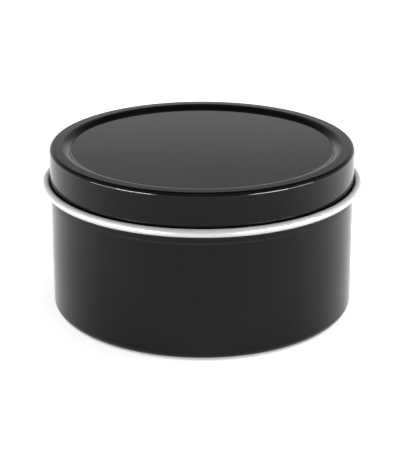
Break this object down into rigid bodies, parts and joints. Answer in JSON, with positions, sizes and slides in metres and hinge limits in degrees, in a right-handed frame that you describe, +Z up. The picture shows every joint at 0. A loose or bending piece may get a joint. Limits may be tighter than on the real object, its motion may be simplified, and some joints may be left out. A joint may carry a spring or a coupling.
{
  "type": "candle tin",
  "caption": "Round seamless tin with an outward-rolled rim and a slip lid with a sunken top panel, for pouring and storing a candle.",
  "frame": {"origin": "centre of the ring that the tin stands on, at the base", "axes": "+Z up along the axis of the tin, the way the lid lifts off; the tin is round, so X and Y are free"},
  "size_m": [0.0812, 0.0812, 0.0425],
  "materials": {
    "black_lacquer": "black baked lacquer, semi-gloss, on tinplate whose inside and rolled rim are bare"
  },
  "bodies": {
    "tin": {"tin_body": "black_lacquer"},
    "lid": {"slip_lid": "black_lacquer"}
  },
  "joints": [
    {"name": "lid_lift", "type": "slide", "parent": "tin", "child": "lid", "axis": [0, 0, 1], "range_m": [0, 0.07]}
  ]
}
